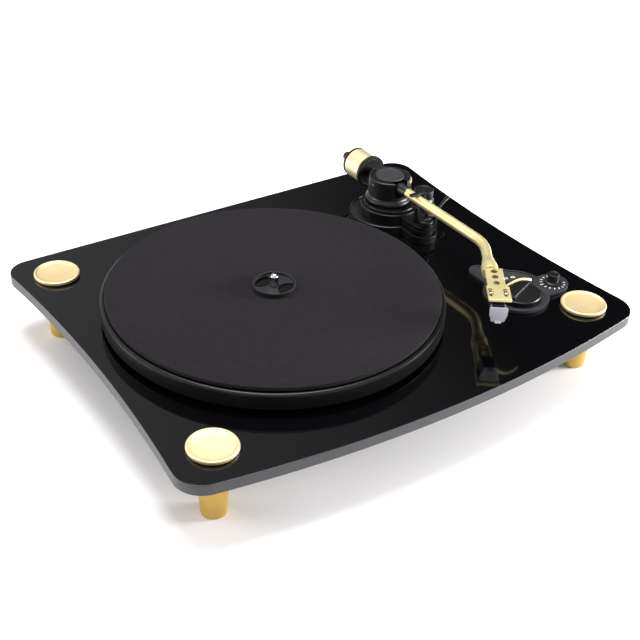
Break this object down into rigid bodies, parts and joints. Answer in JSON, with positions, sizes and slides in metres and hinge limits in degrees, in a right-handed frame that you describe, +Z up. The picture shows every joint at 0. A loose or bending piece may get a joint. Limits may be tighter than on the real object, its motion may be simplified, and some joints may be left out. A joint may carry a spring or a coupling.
{
  "type": "turntable",
  "caption": "Belt-driven turntable on a shaped black plinth with tapered feet, a felt-covered platter, a bent tonearm with a counterweight, and a speed selector.",
  "frame": {"origin": "on the floor, midway across the plinth and midway between its rear edge and the middle of its bowed front edge", "axes": "+X to the right seen from the front, +Y to the rear where the sockets are, +Z up"},
  "size_m": [0.4596, 0.377, 0.1148],
  "materials": {
    "gloss_black": "polished black lacquer on a pressed board",
    "satin_black": "satin black moulding",
    "plate_black": "matt black moulding",
    "platter_black": "cast and painted satin black",
    "felt": "short wool felt",
    "gold": "satin, pale gold plated",
    "steel": "polished",
    "zinc": "zinc plated",
    "bronze": "plain bronze",
    "rubber": "black rubber",
    "ivory": "ivory moulding",
    "guard": "clear grey moulding",
    "board_green": "coated board"
  },
  "bodies": {
    "deck": {"plinth": "gloss_black", "foot_front_left": "gold", "foot_front_right": "gold", "foot_rear_left": "gold", "foot_rear_right": "gold", "foot_disc_front_left": "gold", "foot_disc_front_right": "gold", "foot_disc_rear_left": "gold", "foot_disc_rear_right": "gold", "bearing_housing": "zinc", "thrust_pad": "ivory", "bearing_bush": "bronze", "motor": "zinc", "motor_gasket": "rubber", "motor_nut": "zinc", "drive_belt": "rubber", "electronics_tray": "satin_black", "circuit_board": "board_green", "phono_sockets": "satin_black", "power_socket": "satin_black", "earth_terminal": "zinc", "tonearm_base": "satin_black", "pivot_sleeve": "zinc", "base_nut": "zinc", "arm_rest": "satin_black", "control_plate": "plate_black", "selector_switch": "zinc", "pitch_control": "zinc", "control_cover": "satin_black"},
    "platter_body": {"spindle": "steel", "sub_platter": "ivory", "platter": "platter_black"},
    "mat_body": {"platter_mat": "felt"},
    "adapter_body": {"adapter_45": "satin_black"},
    "pulley_body": {"motor_pulley": "bronze"},
    "arm_swing_body": {"swing_shaft": "steel", "pivot_housing": "satin_black", "pivot_cap": "satin_black", "pivot_screw_left": "steel", "pivot_screw_right": "steel"},
    "arm_body": {"arm_hub": "satin_black", "rear_stub": "satin_black", "arm_tube": "gold", "shell_collar": "gold", "headshell": "gold", "finger_lift": "gold", "cartridge": "satin_black", "cartridge_screw_inner": "steel", "cartridge_screw_outer": "steel", "stylus": "satin_black"},
    "counterweight_body": {"counterweight": "gold", "weight_cap": "satin_black"},
    "tracking_dial_body": {"tracking_dial": "satin_black"},
    "guard_body": {"stylus_guard": "guard"},
    "clip_body": {"arm_clip": "satin_black"},
    "lever_body": {"cue_lever": "satin_black"},
    "platform_body": {"lift_platform": "satin_black"},
    "anti_skate_body": {"anti_skate_knob": "satin_black"},
    "selector_body": {"selector_knob": "satin_black"},
    "pitch_body": {"pitch_knob": "satin_black"}
  },
  "joints": [
    {"name": "platter_spin", "type": "hinge", "parent": "deck", "child": "platter_body", "pos_m": [-0.0512, 0.0026, 0.076], "axis": [0, 0, -1], "continuous": true},
    {"name": "mat_lift", "type": "slide", "parent": "platter_body", "child": "mat_body", "axis": [0, 0, 1], "range_m": [0, 0.02]},
    {"name": "adapter_lift", "type": "slide", "parent": "mat_body", "child": "adapter_body", "axis": [0, 0, 1], "range_m": [0, 0.03]},
    {"name": "pulley_spin", "type": "hinge", "parent": "deck", "child": "pulley_body", "pos_m": [-0.10397, 0.07796, 0.07], "axis": [0, 0, -1], "continuous": true},
    {"name": "arm_swing", "type": "hinge", "parent": "deck", "child": "arm_swing_body", "pos_m": [0.1379, 0.0896, 0.083], "axis": [0, 0, -1], "range_deg": [0, 38]},
    {"name": "arm_lift", "type": "hinge", "parent": "arm_swing_body", "child": "arm_body", "pos_m": [0.1379, 0.0896, 0.1016], "axis": [-1, 0, 0], "range_deg": [0, 7]},
    {"name": "counterweight_turn", "type": "hinge", "parent": "arm_body", "child": "counterweight_body", "pos_m": [0.1379, 0.1346, 0.0986], "axis": [0, 1, 0], "range_deg": [-360, 360]},
    {"name": "tracking_dial_turn", "type": "hinge", "parent": "counterweight_body", "child": "tracking_dial_body", "pos_m": [0.1379, 0.1216, 0.0986], "axis": [0, 1, 0], "range_deg": [-360, 360]},
    {"name": "guard_slide", "type": "slide", "parent": "arm_body", "child": "guard_body", "axis": [-0.575, -0.8181, 0], "range_m": [0, 0.02]},
    {"name": "arm_clip_turn", "type": "hinge", "parent": "deck", "child": "clip_body", "pos_m": [0.1443, 0.0441, 0.108], "axis": [0, 1, 0], "range_deg": [0, 70]},
    {"name": "cue_lever_turn", "type": "hinge", "parent": "deck", "child": "lever_body", "pos_m": [0.1504, 0.0366, 0.0828], "axis": [0.5105, -0.8599, 0], "range_deg": [0, 30]},
    {"name": "platform_lift", "type": "slide", "parent": "deck", "child": "platform_body", "axis": [0, 0, 1], "range_m": [0, 0.01]},
    {"name": "anti_skate_turn", "type": "hinge", "parent": "deck", "child": "anti_skate_body", "pos_m": [0.1769, 0.0816, 0.08], "axis": [0, 0, 1], "range_deg": [0, 270]},
    {"name": "selector_turn", "type": "hinge", "parent": "deck", "child": "selector_body", "pos_m": [0.1493, -0.0952, 0.066], "axis": [0, 0, 1], "range_deg": [-45, 45]},
    {"name": "pitch_turn", "type": "hinge", "parent": "deck", "child": "pitch_body", "pos_m": [0.1917, -0.0943, 0.068], "axis": [0, 0, 1], "range_deg": [-140, 140]}
  ],
  "couplings": [
    {"joint": "pulley_spin", "follows": "platter_spin", "ratio": 10},
    {"joint": "arm_clip_turn", "follows": "arm_lift", "ratio": 10},
    {"joint": "cue_lever_turn", "follows": "platform_lift", "rad_per_m": 52.36}
  ]
}
